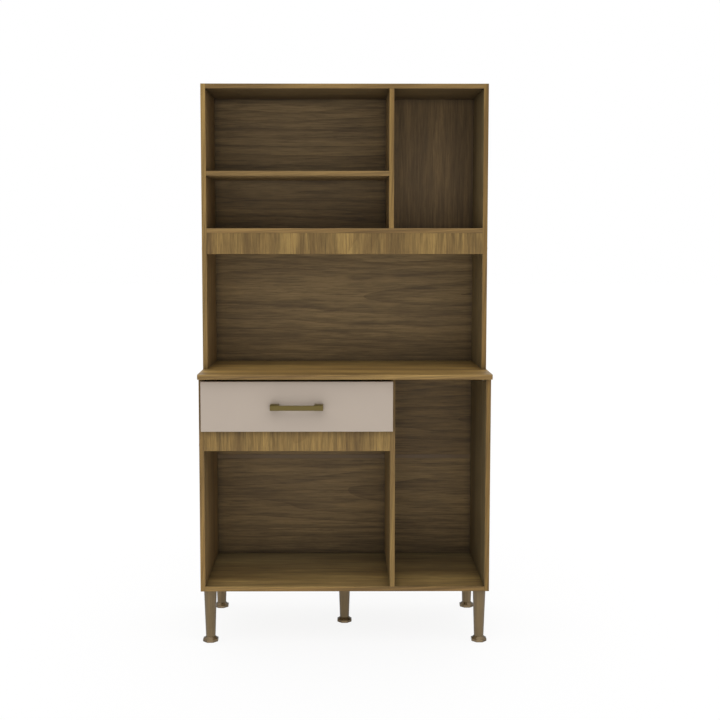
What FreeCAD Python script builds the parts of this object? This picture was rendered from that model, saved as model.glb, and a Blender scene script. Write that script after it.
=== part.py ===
import FreeCAD, Part
import math
import operator
import os
from types import SimpleNamespace

import Sketcher

# Kitchen cabinet: a base with one drawer on five legs, a worktop and an open hutch above it.
# Millimetres. X runs along the front, Y from the front to the wall, Z up from the floor.
# The origin is on the floor, in the middle of the width and of the overall depth.

sizes = {
    # boards and sheets
    "width": 900,
    "board": 15,
    "edge_round": 0.8,
    "back_sheet": 3,
    "sheet_inset": 2,
    "sheet_joint": 1,
    # base
    "base_depth": 390,
    "base_height": 669,
    "left_bay": 575,
    "drawer_opening": 160,
    "rail_height": 66,
    "back_seam": 352,
    "strip_lip": 1,
    "strip_cover": 6,
    # worktop
    "worktop_board": 15,
    "worktop_overhang": 37,
    "worktop_round": 4,
    # hutch
    "hutch_depth": 270,
    "hutch_height": 895,
    "hutch_floor_rise": 431,
    "hutch_rail_height": 66,
    "small_shelf_rise": 610,
    # drawer
    "front_board": 15,
    "front_height": 155,
    "front_drop": 8,
    "front_overlay": 7.5,
    "front_gap": 1,
    "front_round": 1.5,
    "drawer_board": 12,
    "drawer_height": 110,
    "drawer_length": 350,
    "drawer_sheet": 3,
    "groove_rise": 8,
    "groove_depth": 6,
    "groove_play": 0.3,
    "sheet_play": 0.5,
    # drawer slides
    "slide_gap": 12.5,
    "slide_steel": 1.2,
    "slide_length": 350,
    "slide_setback": 2,
    "slide_rise": 5,
    "channel_height": 21.5,
    "channel_width": 10.3,
    "flange_clear": 2.2,
    "ledge_width": 10.5,
    "roller_radius": 9,
    "roller_width": 6.4,
    "roller_chamfer": 0.8,
    "roller_end": 12,
    "roller_lift": 1,
    "roller_play": 0.3,
    "roller_side_play": 0.5,
    "pin_radius": 2.5,
    "pin_head_radius": 4,
    "pin_head": 0.8,
    "pin_head_play": 0.2,
    "running_play": 0.05,
    "drawer_travel": 260,
    "stop_width": 7,
    "stop_height": 11,
    "stop_steel": 2,
    "channel_screw_height": 10,
    "runner_screw_height": 5.2,
    "slide_screw_first": 45,
    "slide_screw_pitch": 130,
    # handle
    "handle_length": 162,
    "handle_height": 15,
    "handle_post": 27,
    "handle_post_rise": 1.5,
    "handle_bar": 9,
    "handle_reach": 35,
    "handle_holes": 128,
    "handle_round": 1.5,
    "handle_inner_round": 4,
    # legs and feet
    "leg_length": 149.7,
    "leg_top_radius": 20,
    "leg_bottom_radius": 15,
    "leg_inset": 27.5,
    "leg_mid_setback": 210,
    "foot_gap": 0.3,
    "foot_radius": 23.5,
    "foot_rim": 9,
    "foot_cone": 7,
    "foot_chamfer": 1,
    "foot_neck_radius": 14.5,
    "stem_radius": 4,
    "stem_length": 36,
    "stem_play": 0.3,
    "stud_radius": 4,
    "stud_in_leg": 25,
    "insert_radius": 6,
    "insert_length": 11,
    # fasteners
    "drill_play": 0.1,
    "screw_radius": 2.25,
    "screw_length": 45,
    "screw_head_radius": 4.5,
    "screw_head": 2.5,
    "screw_setback": 50,
    "cap_radius": 6.5,
    "cap_top_radius": 5.8,
    "cap_height": 0.5,
    "dowel_radius": 4,
    "dowel_face_depth": 9,
    "dowel_end_depth": 19,
    "dowel_setback": 100,
    "rail_screw_rise": 18,
    "rail_dowel_rise": 48,
    "small_screw_radius": 1.75,
    "small_screw_length": 11,
    "small_head_radius": 3.4,
    "small_head": 1.4,
    "handle_screw_radius": 2,
    "handle_screw_bite": 12,
    "handle_head_radius": 4,
    "handle_head": 2.6,
    "cam_radius": 6,
    "cam_depth": 9,
    "cam_bolt_radius": 3,
    "cam_bolt_in_front": 9,
    "cam_bolt_in_side": 24,
    "corner_fix_low": 30,
    "corner_fix_high": 84,
    "bracket_leg": 20,
    "bracket_width": 16,
    "bracket_steel": 1.5,
    "bracket_hole": 12,
    "bracket_setback": 60,
    "nail_radius": 0.8,
    "nail_length": 20,
    "nail_head_radius": 2,
    "nail_head": 0.5,
    "nail_from_joint": 4,
    "nail_from_corner": 60,
}


class Size:
    # A size known both as a formula of the sheet and as its present number.
    def __init__(self, text, value):
        self.text = text
        self.value = value

    def __add__(self, other):
        return joined(self, "+", other)

    def __radd__(self, other):
        return joined(other, "+", self)

    def __sub__(self, other):
        return joined(self, "-", other)

    def __rsub__(self, other):
        return joined(other, "-", self)

    def __mul__(self, other):
        return joined(self, "*", other)

    def __rmul__(self, other):
        return joined(other, "*", self)

    def __truediv__(self, other):
        return joined(self, "/", other)

    def __neg__(self):
        return joined(0, "-", self)


actions = {"+": operator.add, "-": operator.sub, "*": operator.mul, "/": operator.truediv}


def as_size(number):
    if isinstance(number, Size):
        return number
    return Size(repr(number), number)


def joined(left, sign, right):
    left = as_size(left)
    right = as_size(right)
    text = "(%s %s %s)" % (left.text, sign, right.text)
    return Size(text, actions[sign](left.value, right.value))


doc = FreeCAD.newDocument("kitchen_cabinet")
sheet = doc.addObject("Spreadsheet::Sheet", "Sizes")
for row, (name, number) in enumerate(sizes.items(), 1):
    sheet.set("A%d" % row, name)
    sheet.set("B%d" % row, str(number))
    sheet.setAlias("B%d" % row, name)
doc.recompute()
size = SimpleNamespace(**{name: Size("Sizes." + name, number) for name, number in sizes.items()})

right = FreeCAD.Vector(1, 0, 0)
left = FreeCAD.Vector(-1, 0, 0)
back = FreeCAD.Vector(0, 1, 0)
front = FreeCAD.Vector(0, -1, 0)
up = FreeCAD.Vector(0, 0, 1)
down = FreeCAD.Vector(0, 0, -1)
touching = 1e-6
full_turn = 360

# Main planes of the cabinet
front_reach = size.front_gap + size.front_board + size.handle_reach
rear_reach = size.back_sheet + size.strip_lip
y_front = (front_reach - size.base_depth - rear_reach) / 2
y_rear = y_front + size.base_depth
y_hutch = y_rear - size.hutch_depth
x_left = -size.width / 2
x_right = size.width / 2
x_left_in = x_left + size.board
x_right_in = x_right - size.board
x_divider = x_left_in + size.left_bay
x_divider_in = x_divider + size.board
foot_height = size.foot_rim + size.foot_cone
z_base = foot_height + size.foot_gap + size.leg_length
z_floor = z_base + size.board
z_worktop = z_base + size.base_height
z_hutch = z_worktop + size.worktop_board
z_top = z_hutch + size.hutch_height
z_top_in = z_top - size.board
z_hutch_floor = z_hutch + size.hutch_floor_rise
z_hutch_shelf = z_hutch_floor + size.board
z_small_shelf = z_hutch + size.small_shelf_rise
z_rail_top = z_worktop - size.drawer_opening
z_rail = z_rail_top - size.rail_height
z_hutch_rail = z_hutch_floor - size.hutch_rail_height
z_seam = z_base + size.back_seam
half_board = size.board / 2
half_joint = size.sheet_joint / 2

# Planes of the drawer and its slides
y_drawer = y_front - size.front_gap
y_slide = y_front + size.slide_setback
z_track = z_rail_top + size.slide_rise
z_drawer = z_track + size.slide_steel
z_drawer_sheet = z_drawer + size.groove_rise
z_drawer_top = z_drawer + size.drawer_height
z_front = z_worktop - size.front_drop - size.front_height
x_box_left = x_left_in + size.slide_gap
x_box_right = x_divider - size.slide_gap
x_drawer_mid = (x_left_in + x_divider) / 2
half_drawer_board = size.drawer_board / 2
y_front_roller = y_slide + size.roller_end
y_rear_roller = y_drawer + size.drawer_length - size.roller_end
z_front_roller = z_track + size.roller_lift + size.roller_radius
z_rear_roller = z_track + size.roller_play + size.roller_radius
z_channel_screw = z_track + size.channel_screw_height
z_runner_screw = z_track + size.runner_screw_height
z_handle = z_front + size.front_height / 2

parts = {}
drills = {}


def tie(thing, prop, value):
    thing.setExpression(prop, as_size(value).text)


def place(thing, x, y, z, direction=up):
    turn = FreeCAD.Rotation(up, direction)
    thing.Placement = FreeCAD.Placement(FreeCAD.Vector(), turn)
    for axis, value in zip("xyz", (x, y, z)):
        tie(thing, "Placement.Base." + axis, value)


def box_in(body, kind, name, corner, spans):
    block = body.newObject("PartDesign::" + kind, name)
    for prop, span in zip(("Length", "Width", "Height"), spans):
        tie(block, prop, span)
    place(block, *corner)


def ends(edge):
    return [vertex.Point for vertex in edge.Vertexes]


def is_upright(edge):
    start, finish = ends(edge)
    return abs(start.x - finish.x) < touching and abs(start.y - finish.y) < touching


def is_level(edge):
    start, finish = ends(edge)
    return abs(start.z - finish.z) < touching


def dress_edges(body, kind, prop, length, wanted):
    # Rounds or bevels the wanted edges of the body as it stands.
    doc.recompute()
    base = body.Tip
    names = ["Edge%d" % n for n, edge in enumerate(base.Shape.Edges, 1) if wanted(edge)]
    dressed = body.newObject("PartDesign::" + kind, base.Name + "_" + kind.lower())
    dressed.Base = (base, names)
    tie(dressed, prop, length)


def round_edges(body, radius, wanted):
    dress_edges(body, "Fillet", "Radius", radius, wanted)


def bevel_edges(body, width, wanted):
    dress_edges(body, "Chamfer", "Size", width, wanted)


def outline(body, role, points):
    plane = next(item for item in body.Origin.OriginFeatures if item.Role == role)
    sketch = body.newObject("Sketcher::SketchObject", body.Name + "_outline")
    sketch.AttachmentSupport = [(plane, "")]
    sketch.MapMode = "FlatFace"
    points = [(as_size(x), as_size(y)) for x, y in points]
    spots = [FreeCAD.Vector(x.value, y.value, 0) for x, y in points]
    count = len(points)
    for n in range(count):
        sketch.addGeometry(Part.LineSegment(spots[n], spots[(n + 1) % count]))
    for n in range(count):
        sketch.addConstraint(Sketcher.Constraint("Coincident", n, 2, (n + 1) % count, 1))
    for n, (x, y) in enumerate(points):
        for kind, value in (("DistanceX", x), ("DistanceY", y)):
            number = sketch.addConstraint(Sketcher.Constraint(kind, -1, 1, n, 1, float(value.value)))
            tie(sketch, "Constraints[%d]" % number, value)
    return sketch


def add_turned(body, points):
    # Material turned about the body's own Z axis, from points of radius and height.
    feature = body.newObject("PartDesign::Revolution", body.Name + "_turned")
    feature.Profile = outline(body, "XZ_Plane", points)
    feature.ReferenceAxis = (feature.Profile[0], ["V_Axis"])
    feature.Angle = full_turn


def turned(name, points):
    body = doc.addObject("PartDesign::Body", name)
    add_turned(body, points)
    return body


def extruded(name, role, points, length):
    body = doc.addObject("PartDesign::Body", name)
    feature = body.newObject("PartDesign::Pad", name + "_pad")
    feature.Profile = outline(body, role, points)
    feature.Reversed = role == "XZ_Plane"
    tie(feature, "Length", length)
    return body


def cylinder(name, radius, height, start=0):
    thing = doc.addObject("Part::Cylinder", name)
    tie(thing, "Radius", radius)
    tie(thing, "Height", height)
    place(thing, 0, 0, start)
    return thing


def cone(name, radius, end_radius, height):
    thing = doc.addObject("Part::Cone", name)
    tie(thing, "Radius1", radius)
    tie(thing, "Radius2", end_radius)
    tie(thing, "Height", height)
    return thing


def fused(name, base, tool):
    thing = doc.addObject("Part::Fuse", name)
    thing.Base = base
    thing.Tool = tool
    return thing


def cut(name, base, tool):
    thing = doc.addObject("Part::Cut", name)
    thing.Base = base
    thing.Tool = tool
    return thing


def grouped(name, members):
    thing = doc.addObject("Part::Compound", name)
    thing.Links = members
    return thing


def copies(name, pattern, spots):
    made = []
    for number, spot in enumerate(spots, 1):
        copy = doc.addObject("App::Link", "%s_%d" % (name, number))
        copy.LinkedObject = pattern
        copy.LinkTransform = True
        place(copy, *spot)
        made.append(copy)
    return made


def drill(name, pattern, spots, labels):
    # The same drilling goes through every piece that the fastener joins.
    holes = copies(name + "_drill", pattern, spots)
    for label in labels:
        drills.setdefault(label, []).extend(holes)


def keep(label, blank):
    piece = blank
    if label in drills:
        piece = cut(label + "_drilled", blank, grouped(label + "_holes", drills[label]))
    piece.Label = label
    parts[label] = piece
    return piece


def left_hand(name, label):
    # A right-hand piece is the mirror of the left one, which alone is drilled.
    return [label] if name == "left" else []


def mirrored(label, source, x_plane):
    twin = doc.addObject("Part::Mirroring", label + "_twin")
    twin.Source = source
    twin.Normal = right
    tie(twin, "Base.x", x_plane)
    twin.Label = label
    parts[label] = twin


# Patterns of the fasteners: each lies along Z, with its seat at zero and its point upwards
def sunk_screw(name, play):
    shank = cylinder(name + "_shank", size.screw_radius + play, size.screw_length + play)
    head = cone(name + "_head", size.screw_head_radius + play, size.screw_radius + play, size.screw_head)
    return fused(name, head, shank)


def pan_screw(name, radius, length, head_radius, head):
    shank = cylinder(name + "_shank", radius, length)
    cap = cylinder(name + "_head", head_radius, head, -head)
    return fused(name, cap, shank)


screw = sunk_screw("board_screw", 0)
screw_drill = sunk_screw("board_screw_drill", size.drill_play)
cap = cone("screw_cap", size.cap_radius, size.cap_top_radius, size.cap_height)
dowel_length = size.dowel_face_depth + size.dowel_end_depth
dowel = cylinder("dowel", size.dowel_radius, dowel_length, -size.dowel_end_depth)
dowel_drill = cylinder(
    "dowel_drill",
    size.dowel_radius + size.drill_play,
    dowel_length + 2 * size.drill_play,
    -size.dowel_end_depth - size.drill_play,
)
small_screw = pan_screw(
    "small_screw", size.small_screw_radius, size.small_screw_length, size.small_head_radius, size.small_head
)
small_drill = cylinder(
    "small_drill", size.small_screw_radius + size.drill_play, size.small_screw_length + size.drill_play
)
handle_screw_length = size.front_board + size.handle_screw_bite
handle_screw = pan_screw(
    "handle_screw", size.handle_screw_radius, handle_screw_length, size.handle_head_radius, size.handle_head
)
handle_drill = cylinder(
    "handle_drill", size.handle_screw_radius + size.drill_play, handle_screw_length + size.drill_play
)
cam_bolt = cylinder(
    "cam_bolt", size.cam_bolt_radius, size.cam_bolt_in_front + size.cam_bolt_in_side, -size.cam_bolt_in_front
)
cam_bolt_drill = cylinder(
    "cam_bolt_drill",
    size.cam_bolt_radius + size.drill_play,
    size.cam_bolt_in_front + size.cam_bolt_in_side + size.drill_play,
    -size.cam_bolt_in_front - size.drill_play,
)
cam = cylinder("cam", size.cam_radius, size.cam_depth)
cam_drill = cylinder("cam_drill", size.cam_radius + size.drill_play, size.cam_depth)
insert = cut(
    "leg_insert",
    cylinder("leg_insert_outside", size.insert_radius, size.insert_length),
    cylinder("leg_insert_inside", size.stud_radius + size.drill_play, size.insert_length),
)
insert_drill = cylinder("leg_insert_drill", size.insert_radius + size.drill_play, size.insert_length)
nail = pan_screw("nail", size.nail_radius, size.nail_length, size.nail_head_radius, size.nail_head)
nail_drill = cylinder("nail_drill", size.nail_radius + size.drill_play, size.nail_length + size.drill_play)
stud = cylinder("leg_stud", size.stud_radius, size.stud_in_leg + size.insert_length, -size.stud_in_leg)

# Screws through the boards, each run given by its seat, its direction and the boards it joins
base_near = y_front + size.screw_setback
hutch_near = y_hutch + size.screw_setback
far = y_rear - size.screw_setback
z_rail_screw = z_rail + size.rail_screw_rise
z_hutch_rail_screw = z_hutch_rail + size.rail_screw_rise
y_rail = y_front + half_board
y_hutch_rail = y_hutch + half_board
x_divider_mid = x_divider + half_board
x_left_mid = x_left + half_board
x_right_mid = x_right - half_board
z_bottom_mid = z_base + half_board
z_floor_mid = z_hutch_floor + half_board
z_small_mid = z_small_shelf + half_board
z_top_mid = z_top - half_board
base_depths = (base_near, far)
hutch_depths = (hutch_near, far)
outer_runs = {
    "base_floor_left": (x_left, base_depths, z_bottom_mid, right, "base_left_side", "base_bottom"),
    "base_floor_right": (x_right, base_depths, z_bottom_mid, left, "base_right_side", "base_bottom"),
    "rail_left": (x_left, [y_rail], z_rail_screw, right, "base_left_side", "drawer_rail"),
    "top_left": (x_left, hutch_depths, z_top_mid, right, "hutch_left_side", "hutch_top"),
    "top_right": (x_right, hutch_depths, z_top_mid, left, "hutch_right_side", "hutch_top"),
    "hutch_floor_left": (x_left, hutch_depths, z_floor_mid, right, "hutch_left_side", "hutch_floor"),
    "hutch_floor_right": (x_right, hutch_depths, z_floor_mid, left, "hutch_right_side", "hutch_floor"),
    "hutch_rail_left": (x_left, [y_hutch_rail], z_hutch_rail_screw, right, "hutch_left_side", "hutch_rail"),
    "hutch_rail_right": (x_right, [y_hutch_rail], z_hutch_rail_screw, left, "hutch_right_side", "hutch_rail"),
    "small_shelf_left": (x_left, hutch_depths, z_small_mid, right, "hutch_left_side", "hutch_small_shelf"),
}
inner_runs = {
    "rail_right": (x_divider_in, [y_rail], z_rail_screw, left, "base_divider", "drawer_rail"),
    "small_shelf_right": (x_divider_in, hutch_depths, z_small_mid, left, "hutch_divider", "hutch_small_shelf"),
    "base_divider_foot": (x_divider_mid, base_depths, z_base, up, "base_bottom", "base_divider"),
    "hutch_divider_foot": (x_divider_mid, hutch_depths, z_hutch_floor, up, "hutch_floor", "hutch_divider"),
    "hutch_divider_head": (x_divider_mid, hutch_depths, z_top, down, "hutch_top", "hutch_divider"),
    "worktop_left": (x_left_mid, hutch_depths, z_worktop, up, "worktop", "hutch_left_side"),
    "worktop_right": (x_right_mid, hutch_depths, z_worktop, up, "worktop", "hutch_right_side"),
}
board_screws = []
screw_caps = []
for name, (x, depths, z, direction, *labels) in {**outer_runs, **inner_runs}.items():
    spots = [(x, y, z, direction) for y in depths]
    board_screws += copies(name, screw, spots)
    drill(name, screw_drill, spots, labels)
    if name in outer_runs:
        screw_caps += copies(name + "_cap", cap, [(x, y, z, -direction) for y in depths])
keep("board_screws", grouped("board_screw_set", board_screws))
keep("screw_caps", grouped("screw_cap_set", screw_caps))

# Dowels between the worktop and the boards under it, and at the ends of the two rails
dowel_near = y_front + size.dowel_setback
dowel_far = y_rear - size.dowel_setback
z_rail_dowel = z_rail + size.rail_dowel_rise
z_hutch_rail_dowel = z_hutch_rail + size.rail_dowel_rise
dowel_depths = (dowel_near, dowel_far)
dowel_runs = {
    "left_top": (x_left_mid, dowel_depths, z_worktop, up, "base_left_side", "worktop"),
    "right_top": (x_right_mid, dowel_depths, z_worktop, up, "base_right_side", "worktop"),
    "divider_top": (x_divider_mid, dowel_depths, z_worktop, up, "base_divider", "worktop"),
    "rail_left": (x_left_in, [y_rail], z_rail_dowel, left, "base_left_side", "drawer_rail"),
    "rail_right": (x_divider, [y_rail], z_rail_dowel, right, "base_divider", "drawer_rail"),
    "hutch_left": (x_left_in, [y_hutch_rail], z_hutch_rail_dowel, left, "hutch_left_side", "hutch_rail"),
    "hutch_right": (x_right_in, [y_hutch_rail], z_hutch_rail_dowel, right, "hutch_right_side", "hutch_rail"),
}
dowels = []
for name, (x, depths, z, direction, *labels) in dowel_runs.items():
    spots = [(x, y, z, direction) for y in depths]
    dowels += copies(name + "_dowel", dowel, spots)
    drill(name + "_dowel", dowel_drill, spots, labels)
keep("dowels", grouped("dowel_set", dowels))

# Nails through the back sheets into the rear edges of the boards: upright rows, then level rows
inset = size.nail_from_corner
beside = size.nail_from_joint
low_span = (z_base + inset, z_seam - inset)
high_span = (z_seam + inset, z_worktop - inset)
bay_span = (z_hutch + inset, z_floor_mid - inset)
hutch_span = (z_floor_mid + inset, z_top - inset)
full_span = (x_left + inset, x_divider_mid - inset, x_divider_mid + inset, x_right - inset)
left_span = (x_left + inset, x_drawer_mid, x_divider_mid - inset)
right_span = (x_divider_mid + inset, x_right - inset)
upright_rows = [
    ("base_back_lower", "base_left_side", x_left_mid, low_span),
    ("base_back_lower", "base_divider", x_divider_mid, low_span),
    ("base_back_lower", "base_right_side", x_right_mid, low_span),
    ("base_back_upper", "base_left_side", x_left_mid, high_span),
    ("base_back_upper", "base_divider", x_divider_mid, high_span),
    ("base_back_upper", "base_right_side", x_right_mid, high_span),
    ("hutch_back_lower", "hutch_left_side", x_left_mid, bay_span),
    ("hutch_back_lower", "hutch_right_side", x_right_mid, bay_span),
    ("hutch_back_left", "hutch_left_side", x_left_mid, hutch_span),
    ("hutch_back_left", "hutch_divider", x_divider_mid - beside, hutch_span),
    ("hutch_back_right", "hutch_divider", x_divider_mid + beside, hutch_span),
    ("hutch_back_right", "hutch_right_side", x_right_mid, hutch_span),
]
level_rows = [
    ("base_back_lower", "base_bottom", full_span, z_bottom_mid),
    ("hutch_back_lower", "hutch_floor", full_span, z_floor_mid - beside),
    ("hutch_back_left", "hutch_floor", left_span, z_floor_mid + beside),
    ("hutch_back_right", "hutch_floor", right_span, z_floor_mid + beside),
    ("hutch_back_left", "hutch_top", left_span, z_top_mid),
    ("hutch_back_right", "hutch_top", right_span, z_top_mid),
]
nail_rows = [(sheet, label, [(x, z) for z in heights]) for sheet, label, x, heights in upright_rows]
nail_rows += [(sheet, label, [(x, z) for x in places]) for sheet, label, places, z in level_rows]
nails = []
for number, (sheet_label, label, places) in enumerate(nail_rows, 1):
    spots = [(x, y_rear + size.back_sheet, z, front) for x, z in places]
    nails += copies("nail_row_%d" % number, nail, spots)
    drill("nail_row_%d" % number, nail_drill, spots, [sheet_label, label])
keep("back_nails", grouped("back_nail_set", nails))

# Angle brackets that hold the worktop down on the base
bracket_points = [
    (0, 0),
    (size.bracket_leg, 0),
    (size.bracket_leg, -size.bracket_steel),
    (size.bracket_steel, -size.bracket_steel),
    (size.bracket_steel, -size.bracket_leg),
    (0, -size.bracket_leg),
]
bracket_rows = (y_front + size.bracket_setback, y_rear - size.bracket_setback)
bracket_walls = {
    "left": (x_left_in, 1, left, "base_left_side"),
    "divider": (x_divider_in, 1, left, "base_divider"),
    "right": (x_right_in, -1, right, "base_right_side"),
}
brackets = []
bracket_screws = []
for name, (wall, side, into_wall, label) in bracket_walls.items():
    points = [(side * x, z) for x, z in bracket_points]
    for row, middle in enumerate(bracket_rows, 1):
        bracket = extruded("%s_bracket_%d" % (name, row), "XZ_Plane", points, size.bracket_width)
        place(bracket, wall, middle - size.bracket_width / 2, z_worktop)
        brackets.append(bracket)
    upright = [
        (wall + side * size.bracket_steel, y, z_worktop - size.bracket_hole, into_wall) for y in bracket_rows
    ]
    level = [(wall + side * size.bracket_hole, y, z_worktop - size.bracket_steel, up) for y in bracket_rows]
    bracket_screws += copies(name + "_wall_screw", small_screw, upright)
    bracket_screws += copies(name + "_worktop_screw", small_screw, level)
    drill(name + "_wall_screw", small_drill, upright, ["corner_brackets", label])
    drill(name + "_worktop_screw", small_drill, level, ["corner_brackets", "worktop"])
keep("corner_brackets", grouped("corner_bracket_set", brackets))
keep("bracket_screws", grouped("bracket_screw_set", bracket_screws))

# Legs: a turned taper with a stud hole in its head and a threaded hole for the foot
leg_near = y_front + size.leg_inset
leg_far = y_rear - size.leg_inset
leg_places = {
    "front_left": (x_left + size.leg_inset, leg_near),
    "front_right": (x_right - size.leg_inset, leg_near),
    "centre": (0, y_front + size.leg_mid_setback),
    "rear_left": (x_left + size.leg_inset, leg_far),
    "rear_right": (x_right - size.leg_inset, leg_far),
}
stem_hole = size.stem_radius + size.stem_play
stud_hole = size.stud_radius + size.drill_play
stud_floor = size.leg_length - size.stud_in_leg - size.drill_play
leg_points = [
    (stem_hole, 0),
    (size.leg_bottom_radius, 0),
    (size.leg_top_radius, size.leg_length),
    (stud_hole, size.leg_length),
    (stud_hole, stud_floor),
    (0, stud_floor),
    (0, size.stem_length),
    (stem_hole, size.stem_length),
]
foot_sides = 8
half_turn = math.pi / foot_sides
foot_corner = size.foot_radius / math.cos(half_turn)
foot_points = []
for corner in range(foot_sides):
    angle = (2 * corner + 1) * half_turn
    foot_points.append((foot_corner * math.cos(angle), foot_corner * math.sin(angle)))
neck_points = [
    (0, size.foot_rim),
    (size.foot_radius - size.foot_chamfer, size.foot_rim),
    (size.foot_neck_radius, foot_height),
    (size.stem_radius, foot_height),
    (size.stem_radius, foot_height + size.stem_length),
    (0, foot_height + size.stem_length),
]
for name, (x, y) in leg_places.items():
    leg = turned("leg_%s_body" % name, leg_points)
    place(leg, x, y, foot_height + size.foot_gap)
    keep("leg_" + name, leg)
    foot = extruded("foot_%s_body" % name, "XY_Plane", foot_points, size.foot_rim)
    bevel_edges(foot, size.foot_chamfer, is_level)
    add_turned(foot, neck_points)
    place(foot, x, y, 0)
    keep("foot_" + name, foot)
leg_tops = [(x, y, z_base) for x, y in leg_places.values()]
keep("leg_inserts", grouped("leg_insert_set", copies("leg_insert_copy", insert, leg_tops)))
keep("leg_studs", grouped("leg_stud_set", copies("leg_stud_copy", stud, leg_tops)))
drill("leg_insert", insert_drill, leg_tops, ["base_bottom"])

# Drawer slides: a channel on the cabinet with a roller at its front, and a runner under the
# drawer side with a roller at its rear that rolls inside the channel
steel = size.slide_steel
flange = size.roller_lift + 2 * size.roller_radius + size.roller_play
channel_points = [
    (0, -steel),
    (size.channel_width, -steel),
    (size.channel_width, 0),
    (steel, 0),
    (steel, size.channel_height),
    (size.channel_width, size.channel_height),
    (size.channel_width, size.channel_height + steel),
    (0, size.channel_height + steel),
]
runner_points = [
    (size.flange_clear, flange),
    (size.slide_gap - steel, flange),
    (size.slide_gap - steel, 0),
    (size.slide_gap + size.ledge_width, 0),
    (size.slide_gap + size.ledge_width, steel),
    (size.slide_gap, steel),
    (size.slide_gap, flange + steel),
    (size.flange_clear, flange + steel),
]
pin_length = steel + size.roller_side_play + size.roller_width + size.pin_head_play
pin = turned(
    "roller_pin",
    [
        (0, 0),
        (size.pin_radius, 0),
        (size.pin_radius, pin_length),
        (size.pin_head_radius, pin_length),
        (size.pin_head_radius, pin_length + size.pin_head),
        (0, pin_length + size.pin_head),
    ],
)
pin_drill = cylinder("pin_drill", size.pin_radius + size.drill_play, steel)
roller_bore = size.pin_radius + size.running_play
roller_points = [
    (roller_bore, 0),
    (size.roller_radius - size.roller_chamfer, 0),
    (size.roller_radius, size.roller_chamfer),
    (size.roller_radius, size.roller_width - size.roller_chamfer),
    (size.roller_radius - size.roller_chamfer, size.roller_width),
    (roller_bore, size.roller_width),
]
roller_start = steel + size.roller_side_play


def screw_row(start, step):
    return start + size.slide_screw_first + step * size.slide_screw_pitch


channel_screw_rows = [screw_row(y_slide, step) for step in (0, 1, 2)]
runner_screw_rows = [screw_row(y_drawer, step) for step in (0, 1)]
slide_sides = {
    "left": (x_left_in, 1, right, left, "base_left_side"),
    "right": (x_divider, -1, left, right, "base_divider"),
}
front_pins = []
rear_pins = []
channel_screws = []
runner_screws = []
for name, (wall, side, inward, outward, label) in slide_sides.items():
    drawer_wall = wall + side * size.slide_gap
    front_pin = [(wall, y_front_roller, z_front_roller, inward)]
    rear_pin = [(drawer_wall, y_rear_roller, z_rear_roller, outward)]
    front_pins += copies("front_pin_" + name, pin, front_pin)
    rear_pins += copies("rear_pin_" + name, pin, rear_pin)
    channel_spots = [(wall + side * steel, y, z_channel_screw, outward) for y in channel_screw_rows]
    runner_spots = [(drawer_wall - side * steel, y, z_runner_screw, inward) for y in runner_screw_rows]
    channel_screws += copies("channel_screw_" + name, small_screw, channel_spots)
    runner_screws += copies("runner_screw_" + name, small_screw, runner_spots)
    drilled = [label, *left_hand(name, "slide_channel_left")]
    drill("channel_screw_" + name, small_drill, channel_spots, drilled)
    if name == "left":
        drill("front_pin", pin_drill, front_pin, ["slide_channel_left"])
        drill("rear_pin", pin_drill, rear_pin, ["slide_runner_left"])
        drill("runner_screw", small_drill, runner_spots, ["slide_runner_left", "drawer_left_side"])
    front_roller = turned("front_roller_%s_body" % name, roller_points)
    place(front_roller, wall + side * roller_start, y_front_roller, z_front_roller, inward)
    keep("front_roller_" + name, front_roller)
    rear_roller = turned("rear_roller_%s_body" % name, roller_points)
    place(rear_roller, drawer_wall - side * roller_start, y_rear_roller, z_rear_roller, outward)
    keep("rear_roller_" + name, rear_roller)
keep("front_roller_pins", grouped("front_pin_set", front_pins))
keep("rear_roller_pins", grouped("rear_pin_set", rear_pins))
keep("slide_channel_screws", grouped("channel_screw_set", channel_screws))
keep("slide_runner_screws", grouped("runner_screw_set", runner_screws))

channel = extruded("slide_channel_body", "XZ_Plane", channel_points, size.slide_length)
stop_face = y_rear_roller - size.drawer_travel - size.roller_radius - size.roller_play
stop_corner = (steel, stop_face - size.stop_steel - y_slide, 0)
stop_spans = (size.stop_width, size.stop_steel, size.stop_height)
box_in(channel, "AdditiveBox", "slide_stop", stop_corner, stop_spans)
place(channel, x_left_in, y_slide, z_track)
mirrored("slide_channel_right", keep("slide_channel_left", channel), x_drawer_mid)
runner = extruded("slide_runner_body", "XZ_Plane", runner_points, size.drawer_length)
place(runner, x_left_in, y_drawer, z_track)
mirrored("slide_runner_right", keep("slide_runner_left", runner), x_drawer_mid)

# Handle: a flat bar cast in one piece with two wide posts, which are a little taller than the bar
half_handle = size.handle_length / 2
bar_back = size.handle_bar - size.handle_reach
handle_points = [
    (-half_handle, 0),
    (size.handle_post - half_handle, 0),
    (size.handle_post - half_handle, bar_back),
    (half_handle - size.handle_post, bar_back),
    (half_handle - size.handle_post, 0),
    (half_handle, 0),
    (half_handle, -size.handle_reach),
    (-half_handle, -size.handle_reach),
]
handle = extruded("handle_body", "XY_Plane", handle_points, size.handle_height)


def on_bar_face(edge):
    return all(abs(point.y + size.handle_reach.value) < touching for point in ends(edge))


def at_inner_corner(edge):
    return all(abs(point.y - bar_back.value) < touching for point in ends(edge)) and is_upright(edge)


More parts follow.
